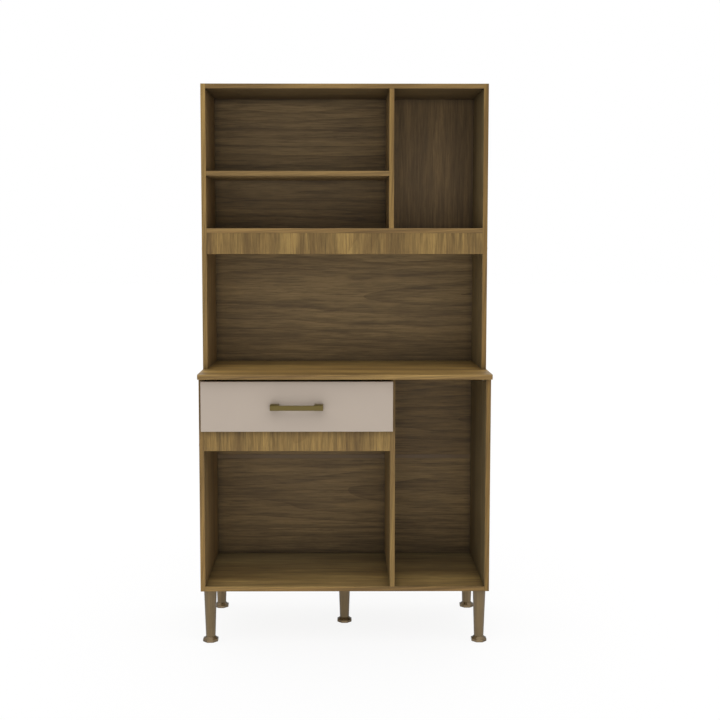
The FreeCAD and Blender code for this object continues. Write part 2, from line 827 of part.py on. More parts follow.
round_edges(handle, size.handle_round, on_bar_face)
round_edges(handle, size.handle_inner_round, at_inner_corner)
post_spans = (size.handle_post, -bar_back, size.handle_height + 2 * size.handle_post_rise)
for side, x_post in (("left", -half_handle), ("right", half_handle - size.handle_post)):
    box_in(handle, "AdditiveBox", "handle_post_" + side, (x_post, bar_back, -size.handle_post_rise), post_spans)
place(handle, x_drawer_mid, y_drawer - size.front_board, z_handle - size.handle_height / 2)
half_holes = size.handle_holes / 2
handle_spots = [(x_drawer_mid + side * half_holes, y_drawer, z_handle, front) for side in (-1, 1)]
keep("handle_screws", grouped("handle_screw_set", copies("handle_screw_copy", handle_screw, handle_spots)))
drill("handle_screw", handle_drill, handle_spots, ["drawer_front", "handle"])
keep("handle", handle)

# Drawer corners: cam bolts from the front into the sides, screws through the sides into the back
cam_y = y_drawer + size.cam_bolt_in_side + size.cam_radius + size.drill_play
corner_heights = (z_drawer + size.corner_fix_low, z_drawer + size.corner_fix_high)
y_drawer_end = y_drawer + size.drawer_length
drawer_corners = {
    "left": (x_box_left, 1, left, right),
    "right": (x_box_right, -1, right, left),
}
cam_bolts = []
cams = []
drawer_screws = []
for name, (x, side, outward, inward) in drawer_corners.items():
    sides = left_hand(name, "drawer_left_side")
    bolt_spots = [(x + side * half_drawer_board, y_drawer, z, back) for z in corner_heights]
    cam_spots = [(x + side * size.drawer_board, cam_y, z, outward) for z in corner_heights]
    end_spots = [(x, y_drawer_end - half_drawer_board, z, inward) for z in corner_heights]
    cam_bolts += copies("cam_bolt_" + name, cam_bolt, bolt_spots)
    cams += copies("cam_" + name, cam, cam_spots)
    drawer_screws += copies("drawer_screw_" + name, screw, end_spots)
    drill("cam_bolt_" + name, cam_bolt_drill, bolt_spots, ["drawer_front", *sides])
    drill("drawer_screw_" + name, screw_drill, end_spots, ["drawer_back", *sides])
    if sides:
        drill("cam", cam_drill, cam_spots, sides)
keep("drawer_cam_bolts", grouped("cam_bolt_set", cam_bolts))
keep("drawer_cams", grouped("cam_set", cams))
keep("drawer_screws", grouped("drawer_screw_set", drawer_screws))


def along(axis):
    # The long edges of a board's front face, where its edge band is rounded.
    def wanted(edge):
        start, finish = ends(edge)
        spans = {"x": abs(start.x - finish.x), "z": abs(start.z - finish.z)}
        return max(start.y, finish.y) < touching and spans[axis] > touching

    return wanted


def board(label, corner, spans, axis=None):
    body = doc.addObject("PartDesign::Body", label + "_board")
    box_in(body, "AdditiveBox", label + "_block", (0, 0, 0), spans)
    if axis:
        round_edges(body, size.edge_round, along(axis))
    place(body, *corner)
    keep(label, body)


inner_width = x_right_in - x_left_in
right_bay = x_right_in - x_divider_in

# Base
side_spans = (size.board, size.base_depth, size.base_height)
board("base_left_side", (x_left, y_front, z_base), side_spans, "z")
board("base_right_side", (x_right_in, y_front, z_base), side_spans, "z")
board("base_bottom", (x_left_in, y_front, z_base), (inner_width, size.base_depth, size.board), "x")
board("base_divider", (x_divider, y_front, z_floor), (size.board, size.base_depth, z_worktop - z_floor), "z")
board("drawer_rail", (x_left_in, y_front, z_rail), (size.left_bay, size.board, size.rail_height), "x")

# Worktop, rounded along its front and at its front corners
worktop = doc.addObject("PartDesign::Body", "worktop_board")
worktop_depth = size.worktop_overhang + size.base_depth + size.back_sheet
worktop_spans = (size.width, worktop_depth, size.worktop_board)
box_in(worktop, "AdditiveBox", "worktop_block", (0, 0, 0), worktop_spans)


def at_front(edge):
    return max(point.y for point in ends(edge)) < touching


round_edges(worktop, size.worktop_round, at_front)
place(worktop, x_left, y_front - size.worktop_overhang, z_worktop)
keep("worktop", worktop)

# Hutch
hutch_spans = (size.board, size.hutch_depth, size.hutch_height)
shelf_spans = (inner_width, size.hutch_depth, size.board)
board("hutch_left_side", (x_left, y_hutch, z_hutch), hutch_spans, "z")
board("hutch_right_side", (x_right_in, y_hutch, z_hutch), hutch_spans, "z")
board("hutch_top", (x_left_in, y_hutch, z_top_in), shelf_spans, "x")
board("hutch_floor", (x_left_in, y_hutch, z_hutch_floor), shelf_spans, "x")
rail_spans = (inner_width, size.board, size.hutch_rail_height)
board("hutch_rail", (x_left_in, y_hutch, z_hutch_rail), rail_spans, "x")
divider_spans = (size.board, size.hutch_depth, z_top_in - z_hutch_shelf)
board("hutch_divider", (x_divider, y_hutch, z_hutch_shelf), divider_spans, "z")
small_spans = (size.left_bay, size.hutch_depth, size.board)
board("hutch_small_shelf", (x_left_in, y_hutch, z_small_shelf), small_spans, "x")

# Back sheets, lying on the rear edges of the boards, with their joints behind boards or in a strip
x_sheet = x_left + size.sheet_inset
sheet_width = size.width - 2 * size.sheet_inset
left_sheet = x_divider_mid - half_joint - x_sheet
right_sheet = x_sheet + sheet_width - x_divider_mid - half_joint
z_low_sheet = z_base + size.sheet_inset
z_mid_sheet = z_seam + half_joint
z_high_sheet = z_floor_mid + half_joint
low_sheet = z_seam - half_joint - z_low_sheet
mid_sheet = z_worktop - z_mid_sheet
bay_sheet = z_floor_mid - half_joint - z_hutch
high_sheet = z_top - size.sheet_inset - z_high_sheet
thin = size.back_sheet
board("base_back_lower", (x_sheet, y_rear, z_low_sheet), (sheet_width, thin, low_sheet))
board("base_back_upper", (x_sheet, y_rear, z_mid_sheet), (sheet_width, thin, mid_sheet))
board("hutch_back_lower", (x_sheet, y_rear, z_hutch), (sheet_width, thin, bay_sheet))
board("hutch_back_left", (x_sheet, y_rear, z_high_sheet), (left_sheet, thin, high_sheet))
board("hutch_back_right", (x_divider_mid + half_joint, y_rear, z_high_sheet), (right_sheet, thin, high_sheet))

# Joint strip of H section between the two base sheets, one length in each bay
lip = size.strip_lip
cover = size.strip_cover
strip_points = [
    (-lip, -cover),
    (0, -cover),
    (0, -half_joint),
    (thin, -half_joint),
    (thin, -cover),
    (thin + lip, -cover),
    (thin + lip, cover),
    (thin, cover),
    (thin, half_joint),
    (0, half_joint),
    (0, cover),
    (-lip, cover),
]
strips = []
for name, x, length in (("left", x_left_in, size.left_bay), ("right", x_divider_in, right_bay)):
    strip = extruded("strip_" + name, "YZ_Plane", strip_points, length)
    place(strip, x, y_rear, z_seam)
    strips.append(strip)
keep("back_joint_strips", grouped("back_joint_strip_set", strips))

# Drawer box and front, with a groove for the bottom sheet
groove_height = size.drawer_sheet + size.groove_play
box_width = x_box_right - x_box_left
between_sides = box_width - 2 * size.drawer_board
drawer_side = doc.addObject("PartDesign::Body", "drawer_side_board")
drawer_side_spans = (size.drawer_board, size.drawer_length, size.drawer_height)
box_in(drawer_side, "AdditiveBox", "drawer_side_block", (0, 0, 0), drawer_side_spans)
side_groove = (size.drawer_board - size.groove_depth, 0, size.groove_rise)
groove_spans = (size.groove_depth, size.drawer_length, groove_height)
box_in(drawer_side, "SubtractiveBox", "drawer_side_groove", side_groove, groove_spans)
place(drawer_side, x_box_left, y_drawer, z_drawer)
mirrored("drawer_right_side", keep("drawer_left_side", drawer_side), x_drawer_mid)

z_drawer_back = z_drawer_sheet + size.drawer_sheet
back_corner = (x_box_left + size.drawer_board, y_drawer_end - size.drawer_board, z_drawer_back)
board("drawer_back", back_corner, (between_sides, size.drawer_board, z_drawer_top - z_drawer_back))

into_groove = size.groove_depth - size.sheet_play
sheet_corner = (x_box_left + size.drawer_board - into_groove, y_drawer - into_groove, z_drawer_sheet)
sheet_spans = (between_sides + 2 * into_groove, size.drawer_length + into_groove, size.drawer_sheet)
board("drawer_bottom", sheet_corner, sheet_spans)

front_width = size.left_bay + 2 * size.front_overlay
x_front = x_left_in - size.front_overlay
drawer_front = doc.addObject("PartDesign::Body", "drawer_front_board")
front_spans = (front_width, size.front_board, size.front_height)
box_in(drawer_front, "AdditiveBox", "drawer_front_block", (0, 0, 0), front_spans)
round_edges(drawer_front, size.front_round, at_front)
front_groove = (
    x_box_left + size.drawer_board - size.groove_depth - x_front,
    size.front_board - size.groove_depth,
    z_drawer_sheet - z_front,
)
front_groove_spans = (between_sides + 2 * size.groove_depth, size.groove_depth, groove_height)
box_in(drawer_front, "SubtractiveBox", "drawer_front_groove", front_groove, front_groove_spans)
place(drawer_front, x_front, y_drawer - size.front_board, z_front)
keep("drawer_front", drawer_front)

doc.recompute()
for item in doc.Objects:
    if "Invalid" in item.State or "Error" in item.State:
        raise RuntimeError("%s failed: %s" % (item.Label, item.State))
for label, piece in parts.items():
    if piece.Shape.isNull() or not piece.Shape.isValid() or not piece.Shape.Solids:
        raise RuntimeError("%s has no valid solid" % label)

os.makedirs("parts", exist_ok=True)
for label, piece in parts.items():
    piece.Shape.exportStep("parts/%s.step" % label)
print("%d pieces, %d solids" % (len(parts), sum(len(piece.Shape.Solids) for piece in parts.values())))
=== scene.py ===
import math

import bmesh
import bpy
from mathutils import Matrix, Vector


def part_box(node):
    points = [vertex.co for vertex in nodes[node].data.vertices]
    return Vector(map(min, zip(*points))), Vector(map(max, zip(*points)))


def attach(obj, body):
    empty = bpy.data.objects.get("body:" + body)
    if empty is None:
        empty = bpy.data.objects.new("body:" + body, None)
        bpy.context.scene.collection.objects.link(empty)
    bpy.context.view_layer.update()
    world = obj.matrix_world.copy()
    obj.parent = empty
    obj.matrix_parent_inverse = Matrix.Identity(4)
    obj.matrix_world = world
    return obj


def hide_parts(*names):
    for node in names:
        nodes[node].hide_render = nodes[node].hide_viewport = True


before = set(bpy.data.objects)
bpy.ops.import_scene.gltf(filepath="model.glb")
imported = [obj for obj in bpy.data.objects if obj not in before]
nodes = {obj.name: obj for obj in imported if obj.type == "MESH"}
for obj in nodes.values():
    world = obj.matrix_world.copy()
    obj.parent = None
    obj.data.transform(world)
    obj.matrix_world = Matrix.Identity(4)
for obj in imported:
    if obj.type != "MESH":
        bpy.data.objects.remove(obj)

scene = bpy.context.scene
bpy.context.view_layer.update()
print("frame loaded:", len(nodes), "nodes")


# colours, and small helpers for shader and geometry trees

white = (1.0, 1.0, 1.0, 1.0)

# places of the colour sockets among all those of a Mix node
mixFactor, mixFirst, mixSecond, mixResult = 0, 6, 7, 2

# most of a noise's values lie between these two
noiseLow = 0.3
noiseHigh = 0.7


def srgb(red, green, blue):
    # a colour as a picture program shows it, 0 to 255, made linear by the usual curve
    def linear(value):
        share = value / 255
        return share / 12.92 if share <= 0.04045 else ((share + 0.055) / 1.055) ** 2.4
    return (linear(red), linear(green), linear(blue), 1.0)


def tinted(red, green, blue):
    # factors that a colour is multiplied by
    return (red, green, blue, 1.0)


def addNode(tree, kind, inputs=None, **settings):
    node = tree.nodes.new(kind)
    for name, value in settings.items():
        setattr(node, name, value)
    for key, source in (inputs or {}).items():
        if isinstance(source, bpy.types.NodeSocket):
            tree.links.new(source, node.inputs[key])
        else:
            node.inputs[key].default_value = source
    return node


def calc(tree, operation, *values):
    return addNode(tree, "ShaderNodeMath", dict(enumerate(values)), operation=operation).outputs[0]


def vectorCalc(tree, operation, first, second):
    return addNode(tree, "ShaderNodeVectorMath", {0: first, 1: second}, operation=operation).outputs[0]


def scaled(tree, vector, factor):
    return addNode(tree, "ShaderNodeVectorMath", {0: vector, "Scale": factor}, operation="SCALE").outputs[0]


def mixColour(tree, factor, first, second, blend="MIX"):
    inputs = {mixFactor: factor, mixFirst: first, mixSecond: second}
    return addNode(tree, "ShaderNodeMix", inputs, data_type="RGBA", blend_type=blend).outputs[mixResult]


def remap(tree, value, low, high, toLow=0.0, toHigh=1.0):
    inputs = {"Value": value, "From Min": low, "From Max": high, "To Min": toLow, "To Max": toHigh}
    return addNode(tree, "ShaderNodeMapRange", inputs).outputs["Result"]


def around(tree, value, middle, swing):
    # a noise's value, turned to one that swings about a middle
    return remap(tree, value, noiseLow, noiseHigh, middle - swing, middle + swing)


def noise(tree, vector, scale, detail=2.0, roughness=0.5, distortion=0.0):
    inputs = {
        "Vector": vector,
        "Scale": scale,
        "Detail": detail,
        "Roughness": roughness,
        "Distortion": distortion,
    }
    return addNode(tree, "ShaderNodeTexNoise", inputs).outputs


def grainNoise(tree, vector, squeeze, scale, **fineness):
    # a noise drawn out along X, the more so the smaller the squeeze is
    return noise(tree, vectorCalc(tree, "MULTIPLY", vector, (squeeze, 1.0, 1.0)), scale, **fineness)


def newGroup(name, inputs, outputs):
    # a shader group that takes a vector and some values, and gives values
    tree = bpy.data.node_groups.new(name, "ShaderNodeTree")
    tree.interface.new_socket("Vector", in_out="INPUT", socket_type="NodeSocketVector")
    for label in inputs:
        tree.interface.new_socket(label, in_out="INPUT", socket_type="NodeSocketFloat")
    for label in outputs:
        tree.interface.new_socket(label, in_out="OUTPUT", socket_type="NodeSocketFloat")
    return tree, addNode(tree, "NodeGroupInput").outputs, addNode(tree, "NodeGroupOutput").inputs


# wood print

woodNoise = {
    "drift": {"squeeze": 0.22, "scale": 7.0, "roughness": 0.45},
    "streaks": {"squeeze": 0.04, "detail": 5.0, "roughness": 0.7},
    "flecks": {"squeeze": 0.022, "detail": 3.0, "roughness": 0.6, "distortion": 0.2},
    "tone": {"squeeze": 0.12, "scale": 5.0},
    "fibres": {"squeeze": 0.015, "scale": 190.0, "detail": 4.0, "roughness": 0.7},
    "pores": {"squeeze": 0.03, "scale": 620.0},
}

# values that become 0 and 1 in the print's masks
woodSpread = {
    "Figure": (0.5, 1.0),
    "Streak": (0.34, 0.66),
    "Fleck": (0.5, 0.72),
    "Tone": (noiseLow, noiseHigh),
    "Pores": (0.6, 0.74),
}

# pores thin out across each ring
ringPores = {"low": 0.2, "high": 0.9, "toLow": 1.0, "toHigh": 0.25}


def makeOakGroup():
    # the grain and the tree's heart run along X of the vector that goes in
    inputs = ["Seed", "Rings", "Streaks", "Flecks", "Wander"]
    tree, given, made = newGroup("oakPrint", inputs, [*woodSpread, "Fibre"])
    seed = addNode(tree, "ShaderNodeCombineXYZ", {axis: given["Seed"] for axis in "XYZ"}).outputs[0]
    own = vectorCalc(tree, "ADD", given["Vector"], seed)
    drift = grainNoise(tree, own, **woodNoise["drift"])["Color"]
    sway = scaled(tree, vectorCalc(tree, "SUBTRACT", drift, (0.5, 0.5, 0.5)), given["Wander"])
    wave = {"Vector": vectorCalc(tree, "ADD", given["Vector"], sway), "Scale": given["Rings"]}
    rings = addNode(
        tree, "ShaderNodeTexWave", wave, wave_type="RINGS", rings_direction="X", wave_profile="SAW"
    ).outputs["Fac"]
    values = {
        "Figure": rings,
        "Streak": grainNoise(tree, own, scale=given["Streaks"], **woodNoise["streaks"])["Fac"],
        "Fleck": grainNoise(tree, own, scale=given["Flecks"], **woodNoise["flecks"])["Fac"],
        "Tone": grainNoise(tree, own, **woodNoise["tone"])["Fac"],
        "Pores": grainNoise(tree, own, **woodNoise["pores"])["Fac"],
    }
    masks = {label: remap(tree, value, *woodSpread[label]) for label, value in values.items()}
    masks["Pores"] = calc(tree, "MULTIPLY", masks["Pores"], remap(tree, rings, **ringPores))
    masks["Fibre"] = grainNoise(tree, own, **woodNoise["fibres"])["Fac"]
    for label, value in masks.items():
        tree.links.new(value, made[label])
    return tree


# cloudy unevenness, fine skin and specks of painted, moulded and plated surfaces

cloudNoise = {"detail": 4.0, "roughness": 0.55, "distortion": 0.4}
speckNoise = {"detail": 1.0}
speckScaleShare = 0.4
speckSpread = (0.66, 0.78)


def makeMottleGroup():
    tree, given, made = newGroup("mottle", ["Cloud Scale", "Skin Scale"], ["Cloud", "Skin", "Specks"])
    speckScale = calc(tree, "MULTIPLY", given["Skin Scale"], speckScaleShare)
    specks = noise(tree, given["Vector"], speckScale, **speckNoise)["Fac"]
    masks = {
        "Cloud": noise(tree, given["Vector"], given["Cloud Scale"], **cloudNoise)["Fac"],
        "Skin": noise(tree, given["Vector"], given["Skin Scale"])["Fac"],
        "Specks": remap(tree, specks, *speckSpread),
    }
    for label, value in masks.items():
        tree.links.new(value, made[label])
    return tree


# brushing lines along X of the vector that goes in

lineNoise = {"squeeze": 0.02, "roughness": 0.6}


def makeBrushGroup():
    tree, given, made = newGroup("brushing", ["Lines"], ["Line"])
    lines = grainNoise(tree, given["Vector"], scale=given["Lines"], **lineNoise)["Fac"]
    tree.links.new(lines, made["Line"])
    return tree


oakGroup = makeOakGroup()
mottleGroup = makeMottleGroup()
brushGroup = makeBrushGroup()
print("shader groups built")


# materials

# turns that bring each grain direction onto X
turnToGrain = {
    "x": Matrix.Identity(3),
    "y": Matrix.Rotation(-math.pi / 2, 3, "Z"),
    "z": Matrix.Rotation(math.pi / 2, 3, "Y"),
}

# a face looks along an axis where its normal's share of that axis is over this
facingShare = 0.5

# how far the roughness follows each noise
fibreRoughness = 0.06
cloudRoughness = 0.05
lineRoughness = 0.08

woodRelief = {"strength": 0.25, "distance": 0.0002}
fibreReliefShare = 0.4
skinReliefDistance = 0.0001

# painted shade in corners and where parts meet: samples, and the openness at which that shade is darkest
cornerShadeSamples = 8
cornerShadeDarkest = 0.3

rimBlend = 0.5


def thinAxis(name):
    low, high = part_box(name)
    return min(range(3), key=lambda i: high[i] - low[i])


def grainTurn(name, look):
    # lays the tree's heart behind the broad face, a little aslant so that the rings run out as arches
    low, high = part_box(name)
    thin = thinAxis(name)
    toGrain = turnToGrain[look["grain"]]
    normal = toGrain @ Vector([1.0 if i == thin else 0.0 for i in range(3)])
    across = normal.cross(Vector((1.0, 0.0, 0.0)))
    turn = Matrix.Rotation(look["slant"], 3, across) @ toGrain
    heart = Vector((look["along"], 0.0, 0.0)) + normal * look["heart"] + across * look["across"]
    return turn.to_euler(), heart - turn @ ((low + high) / 2)


def newMaterial(name):
    material = bpy.data.materials.new(name)
    material.use_nodes = True
    tree = material.node_tree
    shader = next(node for node in tree.nodes if node.type == "BSDF_PRINCIPLED")
    place = addNode(tree, "ShaderNodeTexCoord").outputs["Object"]
    return material, tree, shader, place


def bump(tree, shader, height, strength, distance):
    node = addNode(tree, "ShaderNodeBump", {"Height": height, "Strength": strength, "Distance": distance})
    tree.links.new(node.outputs["Normal"], shader.inputs["Normal"])


def woodMasks(tree, place, name, look):
    rotation, location = grainTurn(name, look)
    turned = {"Vector": place, "Rotation": rotation, "Location": location}
    inputs = {
        "Vector": addNode(tree, "ShaderNodeMapping", turned).outputs["Vector"],
        "Seed": look["seed"],
        "Rings": look["rings"],
        "Streaks": look["streaks"],
        "Flecks": look["flecks"],
        "Wander": look["wander"],
    }
    return addNode(tree, "ShaderNodeGroup", inputs, node_tree=oakGroup).outputs


def boardTint(tree, facing, look):
    # one tint for the broad faces, one for the edges, and one for a broad face that turnedTo chooses; the
    # tints hold painted light and shade
    edge = calc(tree, "LESS_THAN", calc(tree, "ABSOLUTE", facing), facingShare)
    tint = mixColour(tree, edge, look["tint"], look["edgeTint"])
    if "turnedTint" in look:
        chosen = calc(tree, "GREATER_THAN", calc(tree, "MULTIPLY", facing, look["turnedTo"]), facingShare)
        tint = mixColour(tree, chosen, tint, look["turnedTint"])
    return tint


def woodColour(tree, place, facing, wood, look):
    colour = look["light"]
    layers = {"Figure": "figure", "Tone": "mid", "Streak": "dark", "Fleck": "dark"}
    for layer, shade in layers.items():
        depth = look[layer.lower() + "Depth"]
        colour = mixColour(tree, calc(tree, "MULTIPLY", wood[layer], depth), colour, look[shade])
    colour = mixColour(tree, 1.0, colour, boardTint(tree, facing, look), "MULTIPLY")
    colour = scaled(tree, colour, around(tree, wood["Fibre"], 1.0, look["fibreDepth"]))
    colour = mixColour(tree, calc(tree, "MULTIPLY", wood["Pores"], look["poreDepth"]), colour, look["pore"])
    # painted shade: the colour darkens in corners and where parts meet, by how open the spot is
    reach = {"Distance": look["cornerShadeReach"]}
    cornerShade = addNode(tree, "ShaderNodeAmbientOcclusion", reach, samples=cornerShadeSamples).outputs["AO"]
    colour = scaled(tree, colour, remap(tree, cornerShade, cornerShadeDarkest, 1.0, 1.0 - look["cornerShadeDepth"], 1.0))
    # painted shading: a tint that grows along one axis towards the part of the board that lies in shade
    if "paintedShading" in look:
        paintedShading = look["paintedShading"]
        spot = addNode(tree, "ShaderNodeSeparateXYZ", {0: place}).outputs[paintedShading["axis"]]
        share = remap(tree, spot, paintedShading["clear"], paintedShading["full"])
        colour = mixColour(tree, share, colour, paintedShading["tint"], "MULTIPLY")
    return colour


def bareColour(tree, place, look):
    # bare fibreboard
    inputs = {"Vector": place, "Cloud Scale": look["cloudScale"], "Skin Scale": look["skinScale"]}
    board = addNode(tree, "ShaderNodeGroup", inputs, node_tree=mottleGroup).outputs
    cloud = calc(tree, "MULTIPLY", board["Cloud"], look["cloudShare"])
    skin = calc(tree, "MULTIPLY", board["Skin"], 1.0 - look["cloudShare"])
    mottled = remap(tree, calc(tree, "ADD", cloud, skin), *look["spread"])
    colour = mixColour(tree, mottled, look["light"], look["dark"])
    specks = calc(tree, "MULTIPLY", board["Specks"], look["speckDepth"])
    return mixColour(tree, specks, colour, look["speck"])


def oakMaterial(name, look):
    material, tree, shader, place = newMaterial("print_" + name)
    wood = woodMasks(tree, place, name, look)
    normal = addNode(tree, "ShaderNodeTexCoord").outputs["Normal"]
    facing = addNode(tree, "ShaderNodeSeparateXYZ", {0: normal}).outputs[thinAxis(name)]
    colour = woodColour(tree, place, facing, wood, look)
    rough = around(tree, wood["Fibre"], look["roughness"], fibreRoughness)
    if "reverse" in look:
        rear = calc(tree, "GREATER_THAN", facing, facingShare)
        colour = mixColour(tree, rear, colour, bareColour(tree, place, look["reverse"]))
        rough = calc(tree, "MAXIMUM", rough, calc(tree, "MULTIPLY", rear, look["reverse"]["roughness"]))
    tree.links.new(colour, shader.inputs["Base Color"])
    tree.links.new(rough, shader.inputs["Roughness"])
    shader.inputs["Specular IOR Level"].default_value = look["specular"]
    relief = calc(tree, "SUBTRACT", calc(tree, "MULTIPLY", wood["Fibre"], fibreReliefShare), wood["Pores"])
    bump(tree, shader, relief, **woodRelief)
    return material


def mottledMaterial(name, look):
    material, tree, shader, place = newMaterial(name)
    inputs = {"Vector": place, "Cloud Scale": look["cloudScale"], "Skin Scale": look["skinScale"]}
    cover = addNode(tree, "ShaderNodeGroup", inputs, node_tree=mottleGroup).outputs
    colour = scaled(tree, look["colour"][:3], around(tree, cover["Cloud"], 1.0, look["cloudDepth"]))
    specks = calc(tree, "MULTIPLY", cover["Specks"], look["speckDepth"])
    colour = mixColour(tree, specks, colour, look["speck"])
    height = cover["Skin"]
    rough = around(tree, cover["Cloud"], look["roughness"], cloudRoughness)
    if "brushed" in look:
        turned = {"Vector": place, "Rotation": turnToGrain[look["brushed"]].to_euler()}
        along = addNode(tree, "ShaderNodeMapping", turned).outputs["Vector"]
        inputs = {"Vector": along, "Lines": look["lines"]}
        height = addNode(tree, "ShaderNodeGroup", inputs, node_tree=brushGroup).outputs["Line"]
        colour = scaled(tree, colour, around(tree, height, 1.0, look["lineDepth"]))
        rough = calc(tree, "ADD", rough, around(tree, height, 0.0, lineRoughness))
    shader.inputs["Metallic"].default_value = look["metallic"]
    shader.inputs["Specular IOR Level"].default_value = look["specular"]
    if "rimDepth" in look:
        # painted shade: darker and duller where the surface turns away from the eye
        away = addNode(tree, "ShaderNodeLayerWeight", {"Blend": rimBlend}).outputs["Facing"]
        keep = remap(tree, away, look["rimFrom"], look["rimTo"], 1.0, 1.0 - look["rimDepth"])
        colour = scaled(tree, colour, keep)
        tree.links.new(calc(tree, "MULTIPLY", keep, look["metallic"]), shader.inputs["Metallic"])
        tree.links.new(calc(tree, "MULTIPLY", keep, look["specular"]), shader.inputs["Specular IOR Level"])
    tree.links.new(colour, shader.inputs["Base Color"])
    tree.links.new(rough, shader.inputs["Roughness"])
    bump(tree, shader, height, look["bump"], skinReliefDistance)
    return material


def dress(material, *names):
    for name in names:
        slots = nodes[name].data.materials
        slots.clear()
        slots.append(material)


# oak boards: what they share, and what each board changes; the tints of each board, its edges and its
# turned face make lit and shaded copies of the one print, as painted light and shade
oak = {
    "light": srgb(168, 138, 88),
    "mid": srgb(136, 107, 65),
    "dark": srgb(88, 66, 41),
    "figure": srgb(136, 107, 65),
    "pore": srgb(66, 49, 29),
    "tint": tinted(1.0, 1.05, 1.15),
    "edgeTint": tinted(0.94, 0.91, 0.8),
    "grain": "x",
    "slant": 0.05,
    "along": 0.0,
    "heart": 0.06,
    "across": 0.0,
    "seed": 0.0,
    "rings": 26.0,
    "streaks": 16.0,
    "flecks": 95.0,
    "wander": 0.05,
    "figureDepth": 0.55,
    "toneDepth": 0.6,
    "streakDepth": 0.55,
    "fleckDepth": 0.5,
    "fibreDepth": 0.36,
    "poreDepth": 0.45,
    "roughness": 0.5,
    "specular": 0.25,
    "cornerShadeReach": 0.025,
    "cornerShadeDepth": 0.5,
}
upright = {"grain": "z"}
leftSide = {**upright, "turnedTo": -1.0, "turnedTint": tinted(1.0, 0.98, 0.88)}
rightSide = {**leftSide, "turnedTo": 1.0}
railPrint = {
    **upright,
    "heart": 0.3,
    "streaks": 17.0,
    "streakDepth": 0.78,
    "flecks": 360.0,
    "fleckDepth": 0.3,
    "fibreDepth": 0.4,
    "tint": tinted(0.95, 0.95, 0.78),
}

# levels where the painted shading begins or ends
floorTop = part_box("base_bottom")[1].z
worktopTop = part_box("worktop")[1].z
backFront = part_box("hutch_back_lower")[0].y
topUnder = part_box("hutch_top")[0].z

oakBoards = {
    "base_left_side": {
        **leftSide,
        "seed": 1.3,
        "across": 0.05,
        "tint": tinted(0.9, 0.92, 1.03),
        "edgeTint": tinted(0.75, 0.71, 0.58),
    },
    "base_right_side": {
        **rightSide,
        "seed": 2.1,
        "across": -0.08,
        "tint": tinted(0.8, 0.96, 1.25),
        "edgeTint": tinted(0.8, 0.75, 0.54),
    },
    "base_divider": {**upright, "seed": 3.4, "across": 0.1, "edgeTint": tinted(1.03, 1.02, 0.84)},
    "base_bottom": {
        "seed": 0.9,
        "across": 0.06,
        "streaks": 15.0,
        "streakDepth": 0.8,
        "tint": tinted(1.18, 1.26, 1.23),
        "edgeTint": tinted(1.08, 1.06, 0.9),
        "paintedShading": {
            "axis": "Y",
            "clear": backFront - 0.3,
            "full": backFront - 0.05,
            "tint": tinted(0.96, 1.09, 1.42),
        },
    },
    "drawer_rail": {**railPrint, "seed": 4.2},
    "worktop": {
        "seed": 1.7,
        "across": -0.05,
        "along": 0.2,
        "streaks": 18.0,
        "streakDepth": 0.8,
        "tint": tinted(1.36, 1.36, 1.12),
        "edgeTint": tinted(1.13, 1.13, 0.96),
        "paintedShading": {
            "axis": "Y",
            "clear": backFront - 0.22,
            "full": backFront,
            "tint": tinted(0.64, 0.68, 0.79),
        },
    },
    "hutch_left_side": {
        **leftSide,
        "seed": 5.0,
        "across": 0.04,
        "tint": tinted(0.9, 0.91, 0.98),
        "edgeTint": tinted(1.06, 1.07, 0.9),
    },
    "hutch_right_side": {
        **rightSide,
        "seed": 6.3,
        "across": -0.06,
        "tint": tinted(0.88, 1.05, 1.32),
        "edgeTint": tinted(0.92, 0.88, 0.66),
    },
    "hutch_top": {
        "seed": 2.6,
        "across": 0.03,
        "edgeTint": tinted(0.85, 0.83, 0.73),
        # turnedTint darkens the underside: painted shade under the top
        "turnedTo": -1.0,
        "turnedTint": tinted(0.46, 0.48, 0.54),
    },
    "hutch_floor": {"seed": 3.3, "across": -0.04},
    "hutch_rail": {**railPrint, "seed": 7.1},
    "hutch_divider": {**upright, "seed": 8.2, "edgeTint": tinted(1.05, 1.02, 0.81)},
    "hutch_small_shelf": {"seed": 4.4, "edgeTint": tinted(0.75, 0.73, 0.67)},
}
for name, look in oakBoards.items():
    dress(oakMaterial(name, {**oak, **look}), name)

# printed sheets, a shade greyer than the boards and with a wider figure
sheetPrint = {
    **oak,
    "light": srgb(162, 136, 92),
    "mid": srgb(130, 107, 71),
    "dark": srgb(78, 62, 40),
    "figure": srgb(78, 62, 40),
    "pore": srgb(58, 46, 28),
    "tint": white,
    "rings": 11.0,
    "wander": 0.07,
    "fleckDepth": 0.45,
}

# the rear face of the back sheets
fibreboard = {
    "light": srgb(150, 119, 84),
    "dark": srgb(126, 97, 66),
    "speck": srgb(78, 62, 40),
    "speckDepth": 0.4,
    "cloudScale": 3.0,
    "skinScale": 260.0,
    "cloudShare": 0.25,
    "spread": (0.35, 0.65),
    "roughness": 0.78,
}
